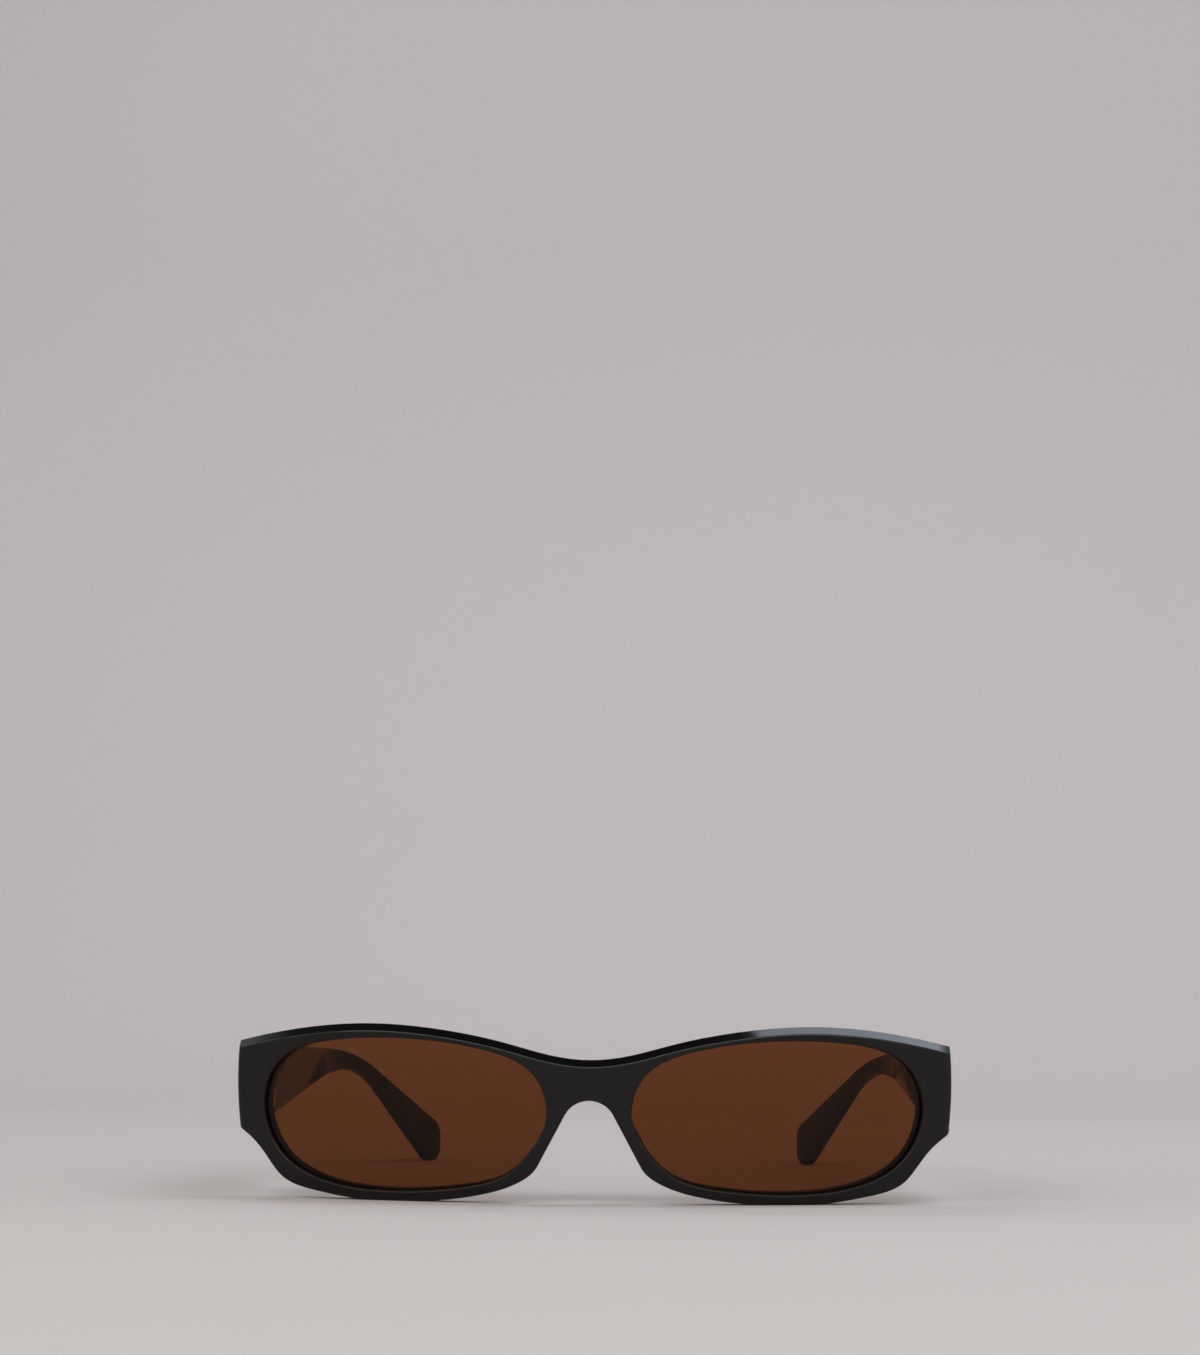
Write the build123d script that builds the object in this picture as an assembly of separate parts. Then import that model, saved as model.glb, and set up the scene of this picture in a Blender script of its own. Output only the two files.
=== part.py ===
from build123d import *
import os
from math import acos, atan2, cos, degrees, radians, sin, sqrt

# Narrow rectangle sunglasses with a wrapped acetate front, in millimetres.
# +Z is up, the front looks along -Y and the temples run back along +Y.
# Everything is drawn with the middle of the front near Y = 0 and the rims standing on Z = 0,
# and the finished pieces move together so that the origin is the bottom centre of the whole.

# Front: a slab bent to one ball surface, so its eye walls and lenses share one centre
front_width = 138.0
front_height = 33.5
front_thickness = 4.0
wrap_radius = 170.0
front_tilt = 6.0
edge_softening = 0.35

# Bridge and nose arch, measured down from the brow and in from the nose
bridge_width = 16.2
bridge_dip = 6.5
bridge_depth = 7.6
arch_radius = 5.2
arch_foot_x = 9.75
arch_foot_z = 7.0

# Brow bevel
brow_bevel = 1.4
bevel_softening = 0.4

# Endpieces, which turn back to meet the temples
endpiece_dip = 3.6
endpiece_height = 16.7
endpiece_bulge = 0.3
endpiece_depth = 5.5
endpiece_inner_width = 6.2
endpiece_inner_rounding = 1.2
endpiece_rounding = 1.1
scoop_turn = 52.0

# Rims: what the eyes leave of the front at the temple, above and below
temporal_rim = 5.6
brow_rim = 2.75
rim_bottom = 1.8
rim_softening = 0.25

# Lenses, held in a groove
groove_depth = 0.7
lens_setback = 0.9
lens_thickness = 1.9
lens_fit = 0.03

# Nose pads, bonded to the back of the nasal rims along the straight legs of the arch
pad_length = 12.5
pad_reach = 4.6
pad_thickness = 2.0
pad_rounding = 0.8
pad_setback = 0.4
pad_height_share = 0.445

# Temples: a long taper, a neck over the ear and a tip that turns down and in to the floor
butt_gap = 0.1
temple_inset = 0.1
temple_thickness = 3.4
tip_thickness = 2.6
temple_reach = 145.9
hook_run = 46.9
hook_turn = 23.6
hook_radius = 40.0
temple_converge = 3.1
temple_top_drop = 3.35
temple_top_lag = 10.0
temple_top_radius = 45.0
temple_neck_height = 3.55
temple_under_lag = 13.5
temple_under_radius = 23.0
tip_height = 8.3
tip_corner = 3.2
tip_rear_rounding = 4.0
temple_rounding = 0.65

# Hinges: five barrels on a slotted screw, with both leaves let into the acetate
barrel_radius = 1.4
barrel_clearance = 0.2
barrel_count = 5
barrel_height = 1.8
barrel_gap = 0.06
leaf_thickness = 1.0
leaf_proud = 0.05
front_leaf_width = 4.6
front_leaf_margin = 0.4
temple_leaf_start = 0.6
temple_leaf_length = 11.0
temple_leaf_height = 7.2
leaf_corner = 0.9
leaf_fit = 0.03
screw_radius = 0.7
screw_fit = 0.03
screw_head_radius = 1.15
screw_head_height = 0.6
screw_slot_width = 0.3
screw_slot_depth = 0.3

# Stiffening wires cast inside the temples
wire_radius = 0.5
wire_butt_depth = 2.2
wire_butt_margin = 0.5
wire_tip_margin = 8.0
wire_hook_radius = 20.0
wire_drop_radius = 22.0

# One spare length for every cut that has to run past a surface, and how close counts as touching
overrun = 5.0
touching = 0.03

half_width = front_width / 2
bridge_top = front_height - bridge_dip
arch_top = bridge_top - bridge_depth
endpiece_top = front_height - endpiece_dip
endpiece_bottom = endpiece_top - endpiece_height
endpiece_middle_z = (endpiece_top + endpiece_bottom) / 2
inner_half = half_width - endpiece_inner_width

eye_left = bridge_width / 2
lens_width = half_width - eye_left - temporal_rim
lens_height = front_height - rim_bottom - brow_rim
eye_middle_z = rim_bottom + lens_height / 2
ball_y = wrap_radius * cos(radians(front_tilt))
ball_z = eye_middle_z + wrap_radius * sin(radians(front_tilt))
inner_radius = wrap_radius - front_thickness


def surface_depth(x, z, radius=wrap_radius):
    """Y of the ball surface of this radius, seen from the front."""
    return ball_y - sqrt(radius**2 - x**2 - (z - ball_z) ** 2)


butt_y = surface_depth(half_width, endpiece_middle_z) + endpiece_depth
temple_front = butt_y + butt_gap
temple_bend = temple_reach - hook_run
temple_inner = half_width - temple_inset - temple_thickness
hinge_x = temple_inner - barrel_radius - barrel_clearance
hinge_y = butt_y + barrel_radius + barrel_clearance
hinge_height = barrel_count * barrel_height
hinge_bottom = endpiece_middle_z - hinge_height / 2

# Outline of the front, seen square on. Brow points run from the bridge outwards: shares of the
# half width, and of the brow's rise over the bridge.
brow_shares = ((0.0, 0.0), (0.116, 0.146), (0.232, 0.470), (0.391, 0.808), (0.630, 1.0), (0.812, 0.842))

# Scoop under the endpiece: shares of the half width and of the endpiece's lower corner height
scoop_shares = ((0.951, 0.833), (0.908, 0.568), (0.865, 0.303), (0.790, 0.140), (0.680, 0.036), (0.560, 0.0))

# Underside of the rim towards the nose: shares of the half width and of the arch's height
under_shares = ((0.430, 0.010), (0.300, 0.075), (0.200, 0.188))

# Eye outline: shares of the lens width and height, from its lower nasal corner
eye_shares = (
    (0.000, 0.570), (0.066, 0.808), (0.230, 0.935), (0.500, 1.000), (0.765, 0.980),
    (0.900, 0.910), (0.970, 0.780), (1.000, 0.550), (0.931, 0.225), (0.781, 0.060),
    (0.530, 0.000), (0.288, 0.034), (0.131, 0.129), (0.043, 0.308),
)


def ball(radius):
    """A ball about the centre that the whole front is bent to."""
    return Pos(0, ball_y, ball_z) * Sphere(radius)


def at_xz(x, z):
    return Vector(x, 0, z)


def at_yz(y, z):
    return Vector(0, y, z)


def mirrored(shape):
    return shape.mirror(Plane.YZ)


def only_solid(shape):
    """The one solid that an operation leaves, the largest if it leaves slivers."""
    return sorted(shape.solids(), key=lambda solid: solid.volume)[-1]


def touch_angle(across, up, radius):
    """Angle round a circle at which a line from this offset point touches it, anticlockwise side."""
    return atan2(up, across) + acos(radius / sqrt(across**2 + up**2))


def arch_leg():
    """Ends of the nose arch's straight leg: its foot, and where it meets the arch."""
    arch_middle = arch_top - arch_radius
    foot = at_xz(arch_foot_x, arch_foot_z)
    lift = touch_angle(arch_foot_x, arch_foot_z - arch_middle, arch_radius)
    return foot, at_xz(arch_radius * cos(lift), arch_middle + arch_radius * sin(lift))


def outline_edges():
    """Closed outline of the front in the XZ plane, both halves."""
    brow_rise = front_height - bridge_top
    brow = [at_xz(a * half_width, bridge_top + b * brow_rise) for a, b in brow_shares]
    shoulder = half_width - endpiece_bulge
    top_corner = at_xz(shoulder, endpiece_top)
    low_corner = at_xz(shoulder - endpiece_bulge, endpiece_bottom)
    brow.append(top_corner)
    far_brow = [at_xz(-point.X, point.Z) for point in reversed(brow[1:])]

    foot, touch = arch_leg()
    scoop = [low_corner] + [at_xz(a * half_width, b * endpiece_bottom) for a, b in scoop_shares]
    under = [scoop[-1]] + [at_xz(a * half_width, b * arch_top) for a, b in under_shares] + [foot]
    turn = radians(scoop_turn)
    half = [
        ThreePointArc(top_corner, at_xz(half_width, endpiece_middle_z), low_corner),
        Spline(*scoop, tangents=(at_xz(-sin(turn), -cos(turn)), at_xz(-1, 0))),
        Spline(*under, tangents=(at_xz(-1, 0), touch - foot)),
        Line(foot, touch),
    ]
    other_half = [edge.mirror(Plane.YZ) for edge in half]
    arch = ThreePointArc(touch, at_xz(0, arch_top), at_xz(-touch.X, touch.Z))
    return [Spline(*far_brow, *brow), *half, *other_half, arch]


def eye_face(growth, plane_y):
    """Eye outline where its cone about the ball's centre crosses the plane at plane_y."""
    width = lens_width + 2 * growth
    height = lens_height + 2 * growth
    points = []
    for a, b in eye_shares:
        x = eye_left - growth + a * width
        z = rim_bottom - growth + b * height
        reach = (ball_y - plane_y) / (ball_y - surface_depth(x, z))
        points.append(Vector(x * reach, plane_y, ball_z + (z - ball_z) * reach))
    return Face(Wire([Spline(*points, periodic=True)]))


def eye_cone(growth=0.0):
    """The solid that one eye's outline sweeps towards the ball's centre."""
    near = eye_face(growth, -overrun)
    far = eye_face(growth, butt_y + overrun)
    return Solid.make_loft([near.outer_wire(), far.outer_wire()], True)


def lens_space(growth, slack):
    """A lens, or the groove that takes it: a slice of shell inside the grown eye cone."""
    outer = wrap_radius - lens_setback + slack
    inner = wrap_radius - lens_setback - lens_thickness - slack
    return eye_cone(growth) & (ball(outer) - ball(inner))


def front_surface(solid):
    """The forward face of the slab: of its two ball faces, the one further forward."""
    balls = [face for face in solid.faces() if face.geom_type == GeomType.SPHERE]
    return sorted(balls, key=lambda face: face.center().Y)[0]


def spans_front(edge):
    return edge.bounding_box().size.X > front_width - 2 * endpiece_inner_width


def make_front_blank():
    """The slab cut to outline, with its endpieces left deep enough to meet the temples."""
    start = Pos(0, -overrun, 0)
    outline = start * Face(Wire(outline_edges()))
    blank = extrude(outline, amount=overrun + butt_y, dir=(0, 1, 0)) & ball(wrap_radius)
    hollow = Box(2 * inner_half, 2 * wrap_radius, 2 * wrap_radius,
                 align=(Align.CENTER, Align.MIN, Align.CENTER))
    blank = only_solid(blank - (ball(inner_radius) & start * hollow))
    steps = [
        edge for edge in blank.edges().filter_by(GeomType.CIRCLE)
        if abs(abs(edge.center().X) - inner_half) < touching
        and edge.center().Y < butt_y - leaf_thickness
    ]
    return only_solid(blank.fillet(endpiece_inner_rounding, steps))


def make_front():
    front = make_front_blank()
    brow = [edge for edge in front_surface(front).edges() if spans_front(edge)]
    front = only_solid(front.chamfer(brow_bevel, None, brow))

    side = half_width - endpiece_bulge
    sides = [edge for edge in front_surface(front).edges() if abs(edge.center().X) > side]
    front = only_solid(front.fillet(endpiece_rounding, sides))
    under = [
        edge for edge in front_surface(front).edges()
        if abs(edge.center().X) < side and not spans_front(edge)
    ]
    front = only_solid(front.fillet(edge_softening, under))
    bevel = [
        edge for edge in front.edges() if spans_front(edge) and edge.bounding_box().min.Y < 0
    ]
    front = only_solid(front.fillet(bevel_softening, bevel))

    for eye in (eye_cone(), mirrored(eye_cone())):
        front = front - eye
    front = only_solid(front)
    rims = [edge for wire in front_surface(front).inner_wires() for edge in wire.edges()]
    front = only_solid(front.fillet(rim_softening, rims))
    groove = lens_space(groove_depth, 0)
    pocket = front_leaf_plate(leaf_fit)
    for cut in (groove, mirrored(groove), pocket, mirrored(pocket)):
        front = front - cut
    return only_solid(front)


def make_lens():
    return only_solid(lens_space(groove_depth - lens_fit, -lens_fit))


def make_nose_pad():
    """A bonded pad: half of a rounded slab, standing back from the rim beside the arch's leg."""
    foot, touch = arch_leg()
    along = (foot - touch).normalized()
    across = along.cross(Vector(0, 1, 0))
    middle = foot + (touch - foot) * pad_height_share + across * pad_setback
    seat_y = surface_depth(middle.X, middle.Z, inner_radius)
    plane = Plane(origin=middle + Vector(0, seat_y, 0), x_dir=along, z_dir=across)
    slab = extrude(plane * SlotOverall(pad_length, 2 * pad_reach), amount=pad_thickness)
    slab = only_solid(slab)
    rims = [edge for face in slab.faces().filter_by(plane) for edge in face.edges()]
    return only_solid(only_solid(slab.fillet(pad_rounding, rims)) & ball(inner_radius))


def temple_corners():
    """Corners of the temple's outline from the side, before any is rounded."""
    butt_top = at_yz(temple_front, endpiece_top)
    top_bend = at_yz(temple_bend + temple_top_lag, endpiece_top - temple_top_drop)
    rear_top = at_yz(temple_reach, tip_height)
    neck = at_yz(temple_bend + temple_under_lag, top_bend.Z - temple_neck_height)
    butt_low = at_yz(temple_front, endpiece_bottom)
    return butt_top, top_bend, rear_top, neck, butt_low


def tip_touch():
    """Where the underside meets the round corner that the tip stands on."""
    neck = temple_corners()[3]
    middle = at_yz(temple_reach - tip_corner, tip_corner)
    turn = touch_angle(neck.Y - middle.Y, neck.Z - middle.Z, tip_corner)
    return middle + at_yz(cos(turn), sin(turn)) * tip_corner


def nearest(vertices, point):
    return sorted(vertices, key=lambda v: (Vector(v.X, v.Y, v.Z) - point).length)[0]


def temple_side():
    """The temple seen from the side, in the YZ plane."""
    butt_top, top_bend, rear_top, neck, butt_low = temple_corners()
    touch = tip_touch()
    rear_low = at_yz(temple_reach, tip_corner)
    side = Face(Wire([
        Line(butt_low, butt_top),
        Line(butt_top, top_bend),
        Line(top_bend, rear_top),
        Line(rear_top, rear_low),
        ThreePointArc(rear_low, at_yz(temple_reach - tip_corner, 0), touch),
        Line(touch, neck),
        Line(neck, butt_low),
    ]))
    for corner, radius in (
        (top_bend, temple_top_radius), (neck, temple_under_radius), (rear_top, tip_rear_rounding)
    ):
        side = side.fillet_2d(radius, [nearest(side.vertices(), corner)])
    return side


def temple_run(near_offset, far_offset):
    """Plan points of a line beside the temple's inner face: the butt, the bend and past the tip."""
    butt = Vector(temple_inner, temple_front, 0)
    bend = Vector(temple_inner - temple_converge, temple_bend, 0)
    ahead = (bend - butt).normalized()
    turn = radians(hook_turn)
    hook = Vector(-sin(turn), cos(turn), 0)
    out_ahead = Vector(ahead.Y, -ahead.X, 0)
    out_hook = Vector(hook.Y, -hook.X, 0)
    corner = bend + (out_ahead + out_hook) * (far_offset / (1 + out_ahead.dot(out_hook)))
    end = corner + hook * ((hook_run + overrun) / hook.Y)
    return butt + out_ahead * near_offset, corner, end


def temple_plan():
    """The temple seen from above, in the XY plane, with length to spare at both ends."""
    inner = temple_run(0, 0)
    outer = temple_run(temple_thickness, tip_thickness)
    inner_start = inner[0] + (inner[0] - inner[1]).normalized() * overrun
    outer_start = outer[0] + (outer[0] - outer[1]).normalized() * overrun
    plan = Face(Wire([
        Line(inner_start, inner[1]),
        Line(inner[1], inner[2]),
        Line(inner[2], outer[2]),
        Line(outer[2], outer[1]),
        Line(outer[1], outer_start),
        Line(outer_start, inner_start),
    ]))
    plan = plan.fillet_2d(hook_radius, [nearest(plan.vertices(), inner[1])])
    return plan.fillet_2d(hook_radius + tip_thickness, [nearest(plan.vertices(), outer[1])])


def runs_along(edge):
    """True for the edges of the temple's sides, but not for the butt or the joins of its faces."""
    box = edge.bounding_box()
    straight = edge.geom_type == GeomType.LINE
    across = straight and box.size.Z < touching
    upright = straight and box.size.Y < touching and box.max.Y < temple_reach - touching
    return not (across or upright)


def make_temple():
    side = extrude(temple_side(), amount=front_width, dir=(1, 0, 0))
    plan = extrude(Pos(0, 0, -overrun) * temple_plan(), amount=front_height + overrun, dir=(0, 0, 1))
    behind_butt = Pos(0, temple_front, 0) * Box(
        front_width, 2 * temple_reach, 2 * front_height, align=(Align.MIN, Align.MIN, Align.CENTER))
    temple = only_solid(side & plan & behind_butt)
    temple = only_solid(temple.fillet(temple_rounding, [e for e in temple.edges() if runs_along(e)]))
    return only_solid(temple - temple_leaf_plate(leaf_fit) - make_wire())


def height_at(y, first, second):
    """Height at y of the line through two points of the temple's side."""
    return first.Z + (second.Z - first.Z) * (y - first.Y) / (second.Y - first.Y)


def make_wire():
    """The stiffening wire, down the middle of the temple from the butt to the tip."""
    butt_top, top_bend, rear_top, neck, butt_low = temple_corners()
    butt, bend, end = temple_run(wire_butt_depth, tip_thickness / 2)
    ahead = (bend - butt).normalized()
    hook = (end - bend).normalized()

    head = butt + ahead * wire_butt_margin
    bend_z = (height_at(bend.Y, butt_top, top_bend) + height_at(bend.Y, butt_low, neck)) / 2
    drop_y = (top_bend.Y + neck.Y) / 2
    drop = bend + hook * ((drop_y - bend.Y) / hook.Y)
    stop = bend + hook * ((temple_reach - wire_tip_margin - bend.Y) / hook.Y)
    stop_z = (height_at(stop.Y, top_bend, rear_top) + height_at(stop.Y, neck, tip_touch())) / 2
    path = FilletPolyline(
        Vector(head.X, head.Y, endpiece_middle_z),
        Vector(bend.X, bend.Y, bend_z),
        Vector(drop.X, drop.Y, (top_bend.Z + neck.Z) / 2),
        Vector(stop.X, stop.Y, stop_z),
        radius=[wire_hook_radius, wire_drop_radius],
    )
    return only_solid(sweep(Plane(origin=path @ 0, z_dir=path % 0) * Circle(wire_radius), path=path))


def on_hinge(shape):
    return Pos(hinge_x, hinge_y, hinge_bottom) * shape


def hinge_barrel(index, web_width, web_depth, web_align):
    """One barrel of the hinge with the web that joins it to its leaf."""
    height = barrel_height - barrel_gap
    barrel = Cylinder(barrel_radius, height, align=(Align.CENTER, Align.CENTER, Align.MIN))
    web = Box(web_width, web_depth, height, align=(*web_align, Align.MIN))
    return on_hinge(Pos(0, 0, index * barrel_height + barrel_gap / 2) * (barrel + web))


def screw_bore():
    radius = screw_radius + screw_fit
    return on_hinge(Cylinder(radius, hinge_height, align=(Align.CENTER, Align.CENTER, Align.MIN)))


def front_leaf_plate(fit=0.0):
    """The front leaf's plate, let into the back of the endpiece."""
    plate = Box(front_leaf_width + 2 * fit, leaf_thickness + fit, hinge_height + 2 * fit,
                align=(Align.MIN, Align.MIN, Align.CENTER))
    plate = fillet(plate.edges().filter_by(Axis.Y), leaf_corner)
    left = inner_half + front_leaf_margin - fit
    return Pos(left, butt_y - leaf_thickness - fit, endpiece_middle_z) * plate


def make_front_hinge():
    leaf = front_leaf_plate()
    for index in range(0, barrel_count, 2):
        leaf = leaf + hinge_barrel(index, 2 * barrel_radius, hinge_y - butt_y, (Align.CENTER, Align.MAX))
    return only_solid(leaf - screw_bore())


def temple_leaf_plate(fit=0.0):
    """The temple leaf's plate, let into the inner face and a touch proud of it."""
    butt, bend, end = temple_run(0, 0)
    plate = Box(leaf_thickness + leaf_proud + fit, temple_leaf_length + 2 * fit,
                temple_leaf_height + 2 * fit, align=(Align.MIN, Align.MIN, Align.CENTER))
    plate = fillet(plate.edges().filter_by(Axis.X), leaf_corner)
    plate = Pos(-leaf_proud, temple_leaf_start - fit, 0) * plate
    turn = degrees(atan2(butt.X - bend.X, bend.Y - butt.Y))
    return Pos(butt.X, butt.Y, endpiece_middle_z) * Rot(0, 0, turn) * plate


def make_temple_hinge():
    leaf = temple_leaf_plate()
    web_width = temple_inner - leaf_proud - hinge_x
    for index in range(1, barrel_count, 2):
        leaf = leaf + hinge_barrel(index, web_width, 2 * barrel_radius, (Align.MIN, Align.CENTER))
    return only_solid(leaf - screw_bore())


def make_screw():
    """The hinge screw, with its slotted head on the top barrel."""
    low = (Align.CENTER, Align.CENTER, Align.MIN)
    head_top = hinge_height + screw_head_height
    shank = Cylinder(screw_radius, hinge_height, align=low)
    head = Pos(0, 0, hinge_height) * Cylinder(screw_head_radius, screw_head_height, align=low)
    slot = Pos(0, 0, head_top - screw_slot_depth) * Box(
        2 * screw_head_radius, screw_slot_width, screw_head_height, align=low)
    return only_solid(on_hinge(shank + head - slot))


# Left and right are the wearer's, who looks along -Y, so the drawn half is the left one
left_pieces = {
    "lens": make_lens(),
    "nose_pad": make_nose_pad(),
    "front_hinge": make_front_hinge(),
    "temple_hinge": make_temple_hinge(),
    "hinge_screw": make_screw(),
    "temple": make_temple(),
    "core_wire": make_wire(),
}
pieces = {"front_frame": make_front()}
for name, solid in left_pieces.items():
    pieces[name + "_left"] = solid
    pieces[name + "_right"] = mirrored(solid)

# The origin is the bottom centre of the whole
whole = Compound(list(pieces.values())).bounding_box()
shift = Pos(0, -(whole.min.Y + whole.max.Y) / 2, -whole.min.Z)

os.makedirs("parts", exist_ok=True)
for name, solid in pieces.items():
    export_step(shift * solid, "parts/" + name + ".step")

print("moved by", shift.position)
print("hinge axis at x", hinge_x, "y", hinge_y + shift.position.Y, "z", endpiece_middle_z)
print("whole", whole.size)
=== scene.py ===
import math

import bmesh
import bpy
from mathutils import Matrix, Vector


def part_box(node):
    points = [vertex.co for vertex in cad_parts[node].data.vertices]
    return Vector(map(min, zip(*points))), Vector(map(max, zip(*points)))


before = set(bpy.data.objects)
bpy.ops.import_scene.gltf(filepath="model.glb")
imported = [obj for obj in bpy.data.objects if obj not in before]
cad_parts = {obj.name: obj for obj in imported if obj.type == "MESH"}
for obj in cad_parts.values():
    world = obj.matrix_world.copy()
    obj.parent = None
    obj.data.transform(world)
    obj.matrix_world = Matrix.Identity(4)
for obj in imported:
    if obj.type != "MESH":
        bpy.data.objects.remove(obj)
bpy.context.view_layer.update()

MM = 0.001
SIDES = ("left", "right")

# Paper sweep, in millimetres from the middle of the glasses at the level that they stand on.
SWEEP_HALF_WIDTH = 1400
FLOOR_FRONT = 1100
FLOOR_BACK = 420
COVE_RADIUS = 420
BACKDROP_HEIGHT = 900
COVE_STEPS = 24

# The paper's painted light and shade run back along the floor and on up the backdrop: the way back and
# the height, summed, lie between these two.
PAINTED_LIGHT_START = -300
PAINTED_LIGHT_END = 1500

# The lenses' brown carries a painted shade, darker at the bottom, that grows lighter upwards between these
# two heights.
PAINTED_SHADE_BOTTOM = 5
PAINTED_SHADE_TOP = 28

# Nearly all of a noise lies between these two values.
NOISE_LOW = 0.3
NOISE_HIGH = 0.7

# Camera, in millimetres sideways from the middle, out from the foremost point of the front and up from the
# floor, with its lens and film, and the nearest distance that it sees.
CAMERA_SIDE = 26.35
CAMERA_DISTANCE = 548.65
CAMERA_HEIGHT = 39.03
CAMERA_TURN = math.radians(2.6)
CAMERA_PITCH = math.radians(6.276)
CAMERA_ROLL = math.radians(0.48)
CAMERA_LENS = 76.95
CAMERA_FILM = 36
CAMERA_NEAR = 10


def colour(hex_value):
    """The linear colour of an sRGB hex value such as "8A5A3C"."""
    channels = []
    for place in (0, 2, 4):
        value = int(hex_value[place:place + 2], 16) / 255
        channels.append(value / 12.92 if value <= 0.04045 else ((value + 0.055) / 1.055) ** 2.4)
    return (*channels, 1)


def grey(value):
    return (value, value, value, 1)


def add(tree, kind, settings=None, **sockets):
    """One node: its settings by name, and its inputs as a value or a linked output, by the socket's name
    or, after an underscore, by its number."""
    node = tree.nodes.new(kind)
    for name, value in (settings or {}).items():
        setattr(node, name, value)
    for name, value in sockets.items():
        socket = node.inputs[int(name[1:])] if name[0] == "_" else node.inputs[name.replace("_", " ")]
        if isinstance(value, bpy.types.NodeSocket):
            tree.links.new(value, socket)
        else:
            socket.default_value = value
    return node


def new_material(name):
    material = bpy.data.materials.new(name)
    material.use_nodes = True
    material.node_tree.nodes.clear()
    return material, material.node_tree


def close_material(tree, shader):
    add(tree, "ShaderNodeOutputMaterial", Surface=shader)


def noise(tree, grain_mm, detail, squeeze=(1, 1, 1)):
    """Noise with features of about grain_mm on the piece, squeezed by so much along each axis."""
    place = add(tree, "ShaderNodeTexCoord").outputs["Object"]
    mapped = add(tree, "ShaderNodeMapping", Vector=place, Scale=squeeze)
    return add(tree, "ShaderNodeTexNoise", Vector=mapped.outputs["Vector"], Scale=1 / (grain_mm * MM),
               Detail=detail).outputs["Fac"]


def spread(tree, fac, low, high):
    """A noise spread over the range from low to high."""
    return add(tree, "ShaderNodeMapRange", Value=fac, From_Min=NOISE_LOW, From_Max=NOISE_HIGH, To_Min=low,
               To_Max=high).outputs["Result"]


def ramp(tree, fac, stops):
    """Colours along a scale: (place, colour) pairs in order, the first and last at the ends."""
    node = add(tree, "ShaderNodeValToRGB", Fac=fac)
    elements = node.color_ramp.elements
    while len(elements) < len(stops):
        elements.new(0.5)
    for element, (place, shade) in zip(elements, stops):
        element.position = place
        element.color = shade
    return node.outputs["Color"]


def polished_acetate():
    """Cellulose acetate sheet, milled, tumbled in pumice and buffed: a deep black under a wet gloss, with the
    faint waviness that barrel tumbling leaves, and a buffing haze, drawn coarser than the real one, that only
    shows as a softer edge to highlights. The gloss is a little weaker than is usual, as photographed."""
    material, tree = new_material("polished_black_acetate")
    haze = spread(tree, noise(tree, grain_mm=1.6, detail=6), low=0.04, high=0.09)
    wave = noise(tree, grain_mm=9, detail=1)
    bump = add(tree, "ShaderNodeBump", Height=wave, Strength=0.12, Distance=0.2 * MM)
    shader = add(tree, "ShaderNodeBsdfPrincipled", Base_Color=colour("060505"), Roughness=haze,
                 IOR=1.48, Specular_IOR_Level=0.36, Normal=bump.outputs["Normal"])
    close_material(tree, shader.outputs["BSDF"])
    return material


def tinted_polyamide():
    """Cast polyamide sun lens, dip dyed brown: clear and glass smooth, so it shows the floor and the temples
    behind it in a warm brown, and lets a brown light through to the floor. Its brown is painted darker at
    the bottom: painted shade, for the shaded floor seen through it. Its index is below the real 1.53, so that
    it mirrors as little as the photographed ones."""
    material, tree = new_material("brown_polyamide_lens")
    place = add(tree, "ShaderNodeTexCoord").outputs["Object"]
    height = add(tree, "ShaderNodeSeparateXYZ", Vector=place).outputs["Z"]
    share = add(tree, "ShaderNodeMapRange", Value=height, From_Min=PAINTED_SHADE_BOTTOM * MM,
                From_Max=PAINTED_SHADE_TOP * MM).outputs["Result"]
    # Painted shade: the lens brown is darker at the bottom, for the shaded floor seen through the lens.
    tint_and_painted_shade = ramp(tree, share, ((0.0, colour("6D3F21")), (0.55, colour("754322")), (1.0, colour("7A4725"))))
    shader = add(tree, "ShaderNodeBsdfPrincipled", Base_Color=tint_and_painted_shade, Roughness=0.0, IOR=1.25,
                 Transmission_Weight=1.0)
    through = add(tree, "ShaderNodeBsdfTransparent", Color=colour("B18866"))
    shadow = add(tree, "ShaderNodeLightPath").outputs["Is Shadow Ray"]
    mixed = add(tree, "ShaderNodeMixShader", _0=shadow, _1=shader.outputs["BSDF"], _2=through.outputs["BSDF"])
    close_material(tree, mixed.outputs["Shader"])
    return material


def satin_nickel_silver():
    """Stamped nickel silver hinge leaves, barrel finished to a satin: a warm grey metal whose highlights are
    drawn out along the stamping lines, which are coarser here than real ones, so that they show."""
    material, tree = new_material("satin_nickel_silver")
    lines = noise(tree, grain_mm=0.25, detail=2, squeeze=(1, 1, 12))
    rough = spread(tree, lines, low=0.24, high=0.38)
    bump = add(tree, "ShaderNodeBump", Height=lines, Strength=0.15, Distance=0.02 * MM)
    shader = add(tree, "ShaderNodeBsdfPrincipled", Base_Color=colour("C9C5BD"), Metallic=1.0, Roughness=rough,
                 Normal=bump.outputs["Normal"])
    close_material(tree, shader.outputs["BSDF"])
    return material


def turned_stainless_steel():
    """Turned stainless steel screw, polished: a bright cool metal with faint turning marks, which are coarser
    here than real ones, so that they show."""
    material, tree = new_material("turned_stainless_steel")
    marks = noise(tree, grain_mm=0.12, detail=2, squeeze=(1, 1, 6))
    rough = spread(tree, marks, low=0.12, high=0.22)
    shader = add(tree, "ShaderNodeBsdfPrincipled", Base_Color=colour("D6D6D4"), Metallic=1.0, Roughness=rough)
    close_material(tree, shader.outputs["BSDF"])
    return material


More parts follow.
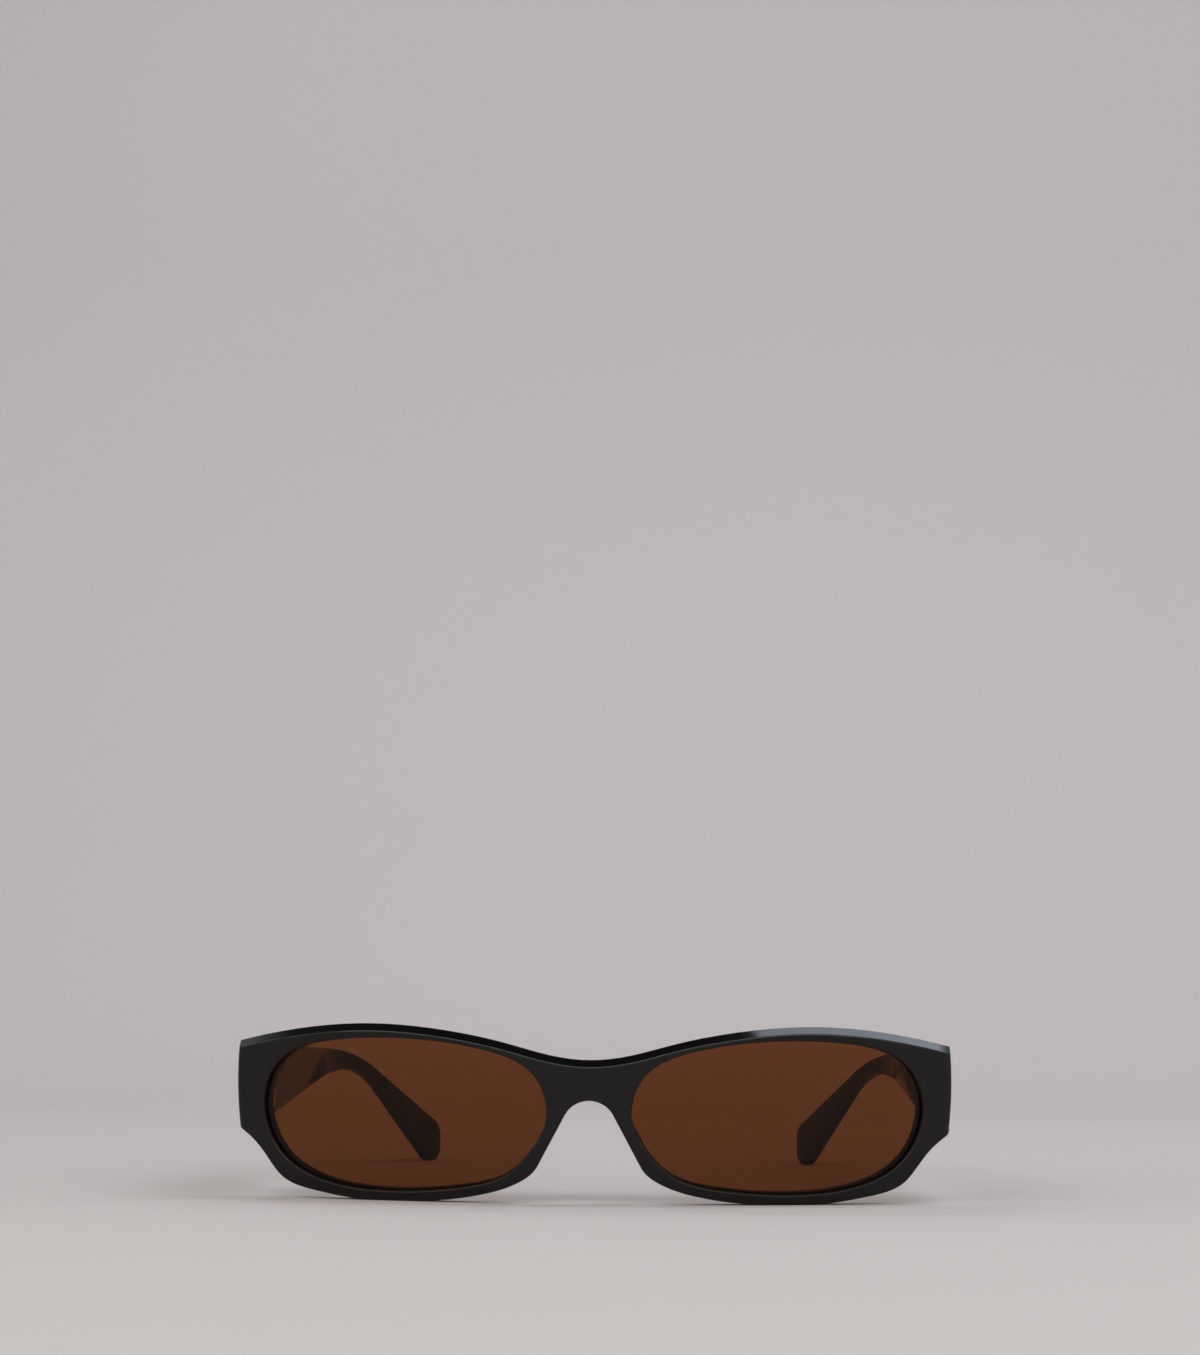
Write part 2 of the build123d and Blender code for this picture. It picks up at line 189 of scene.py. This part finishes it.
def drawn_nickel_silver():
    """Drawn nickel silver core wire, straight from the die: a grey metal with long draw marks, which are
    coarser here than real ones, so that they show."""
    material, tree = new_material("drawn_nickel_silver")
    marks = noise(tree, grain_mm=0.15, detail=2, squeeze=(8, 1, 8))
    rough = spread(tree, marks, low=0.28, high=0.42)
    shader = add(tree, "ShaderNodeBsdfPrincipled", Base_Color=colour("BDB9B0"), Metallic=1.0, Roughness=rough)
    close_material(tree, shader.outputs["BSDF"])
    return material


def backdrop_paper():
    """Matt paper sweep: a pale warm grey with painted light and shade on it, a little darker around the
    glasses, palest where it begins to curve up and darker towards the top, with a faint tooth that is coarser
    here than the real one, so that it shows."""
    material, tree = new_material("matt_paper_sweep")
    tooth = spread(tree, noise(tree, grain_mm=0.8, detail=2), low=0.85, high=0.95)
    place = add(tree, "ShaderNodeTexCoord").outputs["Object"]
    apart = add(tree, "ShaderNodeSeparateXYZ", Vector=place)
    along = add(tree, "ShaderNodeMath", {"operation": "ADD"}, _0=apart.outputs["Y"],
                _1=apart.outputs["Z"]).outputs["Value"]
    share = add(tree, "ShaderNodeMapRange", Value=along, From_Min=PAINTED_LIGHT_START * MM,
                From_Max=PAINTED_LIGHT_END * MM).outputs["Result"]
    # Painted light and shade in the paper's colour: darker around the glasses, palest at the foot of the
    # cove, darker towards the top.
    shade = ramp(tree, share, ((0.0, colour("C8C3C0")), (0.11, colour("C8C3C0")), (0.17, colour("C6C1BE")),
                               (0.3, colour("CCC7C5")), (0.42, colour("CDC8C7")), (0.62, colour("C7C2C2")),
                               (1.0, colour("C4BFBF"))))
    shader = add(tree, "ShaderNodeBsdfPrincipled", Base_Color=shade, Roughness=tooth,
                 Specular_IOR_Level=0.2)
    close_material(tree, shader.outputs["BSDF"])
    return material


def dress():
    """Gives each piece the finish of the real one. Left and right pieces share it."""
    acetate = polished_acetate()
    hinge = satin_nickel_silver()
    finishes = {"front_frame": acetate, "temple": acetate, "nose_pad": acetate, "lens": tinted_polyamide(),
                "front_hinge": hinge, "temple_hinge": hinge, "hinge_screw": turned_stainless_steel(),
                "core_wire": drawn_nickel_silver()}
    for name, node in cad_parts.items():
        kind = name
        for side in SIDES:
            kind = kind.removesuffix("_" + side)
        for slot in node.material_slots:
            slot.material = finishes[kind]


def points(items):
    return [item for item in items if isinstance(item, bmesh.types.BMVert)]


def draw_out(mesh, edge, way):
    """Draws an edge out by a distance in millimetres each way, and gives the edge at the new end."""
    ends = points(bmesh.ops.extrude_edge_only(mesh, edges=[edge])["geom"])
    bmesh.ops.translate(mesh, verts=ends, vec=Vector(way) * MM)
    return mesh.edges.get(ends)


def make_sweep():
    """The floor and backdrop as one sheet: its front edge drawn back, turned up round the cove, drawn up."""
    mesh = bmesh.new()
    corners = [mesh.verts.new((x * MM, -FLOOR_FRONT * MM, 0)) for x in (-SWEEP_HALF_WIDTH, SWEEP_HALF_WIDTH)]
    edge = draw_out(mesh, mesh.edges.new(corners), (0, FLOOR_FRONT + FLOOR_BACK, 0))
    turned = bmesh.ops.spin(mesh, geom=[*edge.verts, edge], cent=(0, FLOOR_BACK * MM, COVE_RADIUS * MM),
                            axis=(1, 0, 0), angle=math.pi / 2, steps=COVE_STEPS)["geom_last"]
    draw_out(mesh, mesh.edges.get(points(turned)), (0, 0, BACKDROP_HEIGHT - COVE_RADIUS))
    bmesh.ops.recalc_face_normals(mesh, faces=mesh.faces)
    for face in mesh.faces:
        face.smooth = True
    data = bpy.data.meshes.new("paper_sweep")
    mesh.to_mesh(data)
    mesh.free()
    sweep = bpy.data.objects.new("paper_sweep", data)
    bpy.context.collection.objects.link(sweep)
    data.materials.append(backdrop_paper())


def softbox(name, shape, place, aim, width, depth, radiance, hex_value):
    """An area lamp whose face has the given radiance, so that a surface that mirrors it shows that value."""
    lamp = bpy.data.lights.new(name, "AREA")
    lamp.shape = shape
    lamp.size = width * MM
    lamp.size_y = depth * MM
    fill = math.pi / 4 if shape == "ELLIPSE" else 1
    lamp.energy = radiance * math.pi * fill * lamp.size * lamp.size_y
    lamp.color = colour(hex_value)[:3]
    box = bpy.data.objects.new(name, lamp)
    bpy.context.collection.objects.link(box)
    place, aim = Vector(place) * MM, Vector(aim) * MM
    box.matrix_world = Matrix.Translation(place) @ (aim - place).to_track_quat("-Z", "Y").to_matrix().to_4x4()


def light():
    # Long and cool, up on the right: the highlight along the right brow, and soft light from above.
    softbox("overhead_right", "ELLIPSE", place=(380, 60, 950), aim=(0, 0, 0), width=260, depth=870,
            radiance=5.3, hex_value="E8F0FF")
    # Small and warm, behind on the left: some light on the backs of the rims and the insides of the temples.
    softbox("upper_left_back", "RECTANGLE", place=(-380, 480, 850), aim=(0, -40, 20), width=420, depth=200,
            radiance=2.6, hex_value="FFF6EC")
    # Wide, high in front: fills the floor before the glasses and lights the edges of the rims.
    softbox("front_high", "RECTANGLE", place=(0, -620, 640), aim=(0, 0, 20), width=1400, depth=300,
            radiance=2.0, hex_value="FFFAF6")


def make_room():
    """What the gloss mirrors round the studio: walls that grow paler upwards, and a dark ceiling."""
    world = bpy.data.worlds.new("studio")
    bpy.context.scene.world = world
    world.use_nodes = True
    tree = world.node_tree
    tree.nodes.clear()
    direction = add(tree, "ShaderNodeTexCoord").outputs["Generated"]
    height = add(tree, "ShaderNodeSeparateXYZ", Vector=direction).outputs["Z"]
    walls = ramp(tree, height, ((0.0, grey(0.65)), (0.2, grey(0.7)), (0.42, grey(1.0)), (0.7, grey(1.0)),
                                (0.8, grey(0.12)), (1.0, grey(0.08))))
    sky = add(tree, "ShaderNodeBackground", Color=walls, Strength=1.0)
    add(tree, "ShaderNodeOutputWorld", Surface=sky.outputs["Background"])


def place_camera():
    """The photograph's view: low in front and a little to the wearer's left, turned back to the middle."""
    data = bpy.data.cameras.new("photo_view")
    data.lens = CAMERA_LENS
    data.sensor_width = CAMERA_FILM
    data.clip_start = CAMERA_NEAR * MM
    camera = bpy.data.objects.new("photo_view", data)
    bpy.context.collection.objects.link(camera)
    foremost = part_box("front_frame")[0][1]
    place = Vector((CAMERA_SIDE * MM, foremost - CAMERA_DISTANCE * MM, CAMERA_HEIGHT * MM))
    turn = (Matrix.Rotation(CAMERA_TURN, 4, "Z") @ Matrix.Rotation(math.pi / 2 + CAMERA_PITCH, 4, "X")
            @ Matrix.Rotation(CAMERA_ROLL, 4, "Z"))
    camera.matrix_world = Matrix.Translation(place) @ turn
    bpy.context.scene.camera = camera


dress()
make_sweep()
light()
make_room()
place_camera()
bpy.context.scene.view_settings.view_transform = "Standard"
